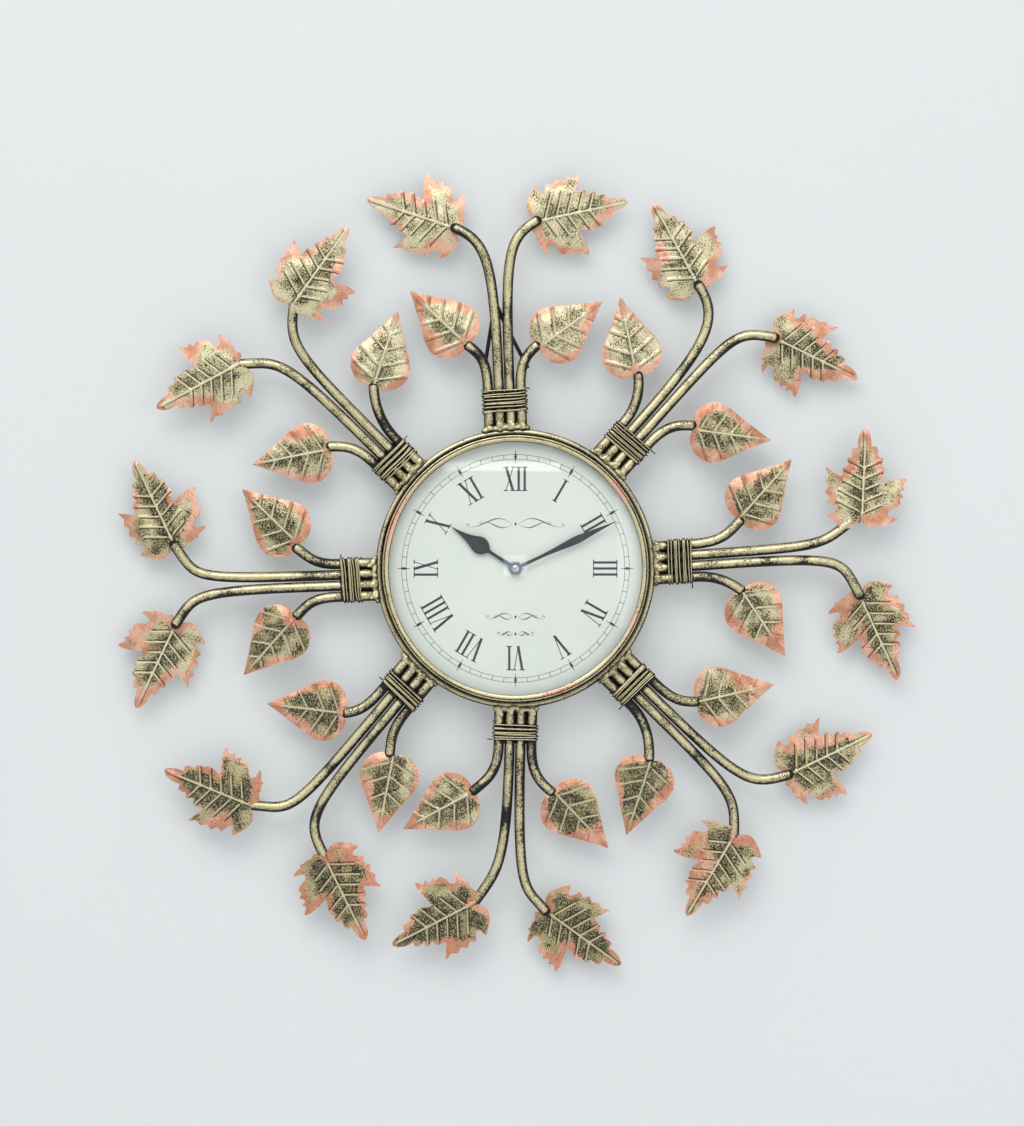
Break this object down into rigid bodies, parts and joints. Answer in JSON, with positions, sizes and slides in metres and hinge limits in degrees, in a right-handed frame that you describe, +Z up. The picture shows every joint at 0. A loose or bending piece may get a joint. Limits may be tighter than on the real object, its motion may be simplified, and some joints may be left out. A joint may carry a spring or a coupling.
{
  "type": "wall clock",
  "caption": "Round battery wall clock with Roman dial and domed glass in a frame of wire-bound rods ending in pressed metal leaves.",
  "frame": {"origin": "the dial's axis where it meets the wall, at the back plate's rear face", "axes": "+Y into the wall, the dial faces -Y, +Z up, +X to the right seen from the front"},
  "size_m": [0.6119, 0.04, 0.6118],
  "materials": {
    "gilt_and_copper_steel": "black ground, dry-brushed pale gold, copper-pink sprayed leaf edges",
    "gilt_steel": "black ground, dry-brushed pale gold",
    "iron_wire": "black satin",
    "black_case": "black satin",
    "gilt_bezel": "pale gold with copper-pink blush",
    "glass": "clear, domed",
    "dial_card": "pale green-white, printed grey",
    "hand_steel": "dark slate",
    "nickel": "polished",
    "brass": "plain",
    "black_plastic": "moulded",
    "cell_jacket": "printed sleeve, no mark",
    "board": "green solder mask",
    "copper_coil": "enamelled wire",
    "magnet": "sintered",
    "white_nylon": "moulded"
  },
  "bodies": {
    "frame": {"top_heart_1": "gilt_and_copper_steel", "top_maple_2": "gilt_and_copper_steel", "top_maple_3": "gilt_and_copper_steel", "top_heart_4": "gilt_and_copper_steel", "upper_right_heart_1": "gilt_and_copper_steel", "upper_right_maple_2": "gilt_and_copper_steel", "upper_right_maple_3": "gilt_and_copper_steel", "upper_right_heart_4": "gilt_and_copper_steel", "right_heart_1": "gilt_and_copper_steel", "right_maple_2": "gilt_and_copper_steel", "right_maple_3": "gilt_and_copper_steel", "right_heart_4": "gilt_and_copper_steel", "lower_right_heart_1": "gilt_and_copper_steel", "lower_right_maple_2": "gilt_and_copper_steel", "lower_right_maple_3": "gilt_and_copper_steel", "lower_right_heart_4": "gilt_and_copper_steel", "bottom_heart_1": "gilt_and_copper_steel", "bottom_maple_2": "gilt_and_copper_steel", "bottom_maple_3": "gilt_and_copper_steel", "bottom_heart_4": "gilt_and_copper_steel", "lower_left_heart_1": "gilt_and_copper_steel", "lower_left_maple_2": "gilt_and_copper_steel", "lower_left_maple_3": "gilt_and_copper_steel", "lower_left_heart_4": "gilt_and_copper_steel", "left_heart_1": "gilt_and_copper_steel", "left_maple_2": "gilt_and_copper_steel", "left_maple_3": "gilt_and_copper_steel", "left_heart_4": "gilt_and_copper_steel", "upper_left_heart_1": "gilt_and_copper_steel", "upper_left_maple_2": "gilt_and_copper_steel", "upper_left_maple_3": "gilt_and_copper_steel", "upper_left_heart_4": "gilt_and_copper_steel", "frame_hoop": "gilt_steel", "hanging_loop": "iron_wire", "case_drum": "black_case", "back_plate": "black_case", "bezel": "gilt_bezel", "glass": "glass", "dial": "dial_card", "neck_nut": "brass", "movement_case": "black_plastic", "movement_cover": "black_plastic", "contact_positive": "nickel", "contact_negative": "nickel", "circuit_board": "board", "coil": "copper_coil", "stator": "nickel"},
    "minute": {"minute_hand": "hand_steel", "hand_nut": "nickel", "minute_arbor": "brass"},
    "hour": {"hour_hand": "hand_steel", "hour_wheel": "white_nylon"},
    "motion": {"motion_wheel": "white_nylon"},
    "setting_knob": {"set_knob": "black_plastic"},
    "seconds": {"seconds_wheel": "white_nylon"},
    "motor_rotor": {"rotor": "magnet"},
    "intermediate": {"intermediate_wheel": "white_nylon"},
    "third": {"third_wheel": "white_nylon"},
    "centre": {"centre_wheel": "brass"},
    "cell": {"battery": "cell_jacket"}
  },
  "joints": [
    {"name": "minute_turn", "type": "hinge", "parent": "frame", "child": "minute", "pos_m": [0, -0.015, 0], "axis": [0, 1, 0], "continuous": true},
    {"name": "hour_turn", "type": "hinge", "parent": "frame", "child": "hour", "pos_m": [0, -0.015, 0], "axis": [0, 1, 0], "continuous": true},
    {"name": "motion_wheel_turn", "type": "hinge", "parent": "frame", "child": "motion", "pos_m": [0.0048, -0.015, 0.00831], "axis": [0, 1, 0], "continuous": true},
    {"name": "set_knob_turn", "type": "hinge", "parent": "frame", "child": "setting_knob", "pos_m": [0.0144, -0.015, 0.00831], "axis": [0, 1, 0], "continuous": true},
    {"name": "seconds_wheel_turn", "type": "hinge", "parent": "frame", "child": "seconds", "pos_m": [-0.00792, -0.015, 0.00999], "axis": [0, 1, 0], "continuous": true},
    {"name": "rotor_turn", "type": "hinge", "parent": "frame", "child": "motor_rotor", "pos_m": [-0.00701, -0.015, 0.0193], "axis": [0, 1, 0], "continuous": true},
    {"name": "intermediate_wheel_turn", "type": "hinge", "parent": "frame", "child": "intermediate", "pos_m": [-0.00528, -0.015, 0.01456], "axis": [0, 1, 0], "continuous": true},
    {"name": "third_wheel_turn", "type": "hinge", "parent": "frame", "child": "third", "pos_m": [-0.00686, -0.015, 0.00396], "axis": [0, 1, 0], "continuous": true},
    {"name": "centre_wheel_turn", "type": "hinge", "parent": "frame", "child": "centre", "pos_m": [0, -0.015, 0], "axis": [0, 1, 0], "continuous": true},
    {"name": "battery_out", "type": "slide", "parent": "frame", "child": "cell", "axis": [0, 1, 0], "range_m": [0, 0.03]}
  ],
  "couplings": [
    {"joint": "hour_turn", "follows": "minute_turn", "ratio": 0.083333},
    {"joint": "motion_wheel_turn", "follows": "minute_turn", "ratio": -0.33333},
    {"joint": "set_knob_turn", "follows": "minute_turn", "ratio": 1},
    {"joint": "rotor_turn", "follows": "seconds_wheel_turn", "ratio": 30},
    {"joint": "intermediate_wheel_turn", "follows": "seconds_wheel_turn", "ratio": -5},
    {"joint": "third_wheel_turn", "follows": "seconds_wheel_turn", "ratio": -0.13333},
    {"joint": "centre_wheel_turn", "follows": "seconds_wheel_turn", "ratio": 0.016667}
  ]
}
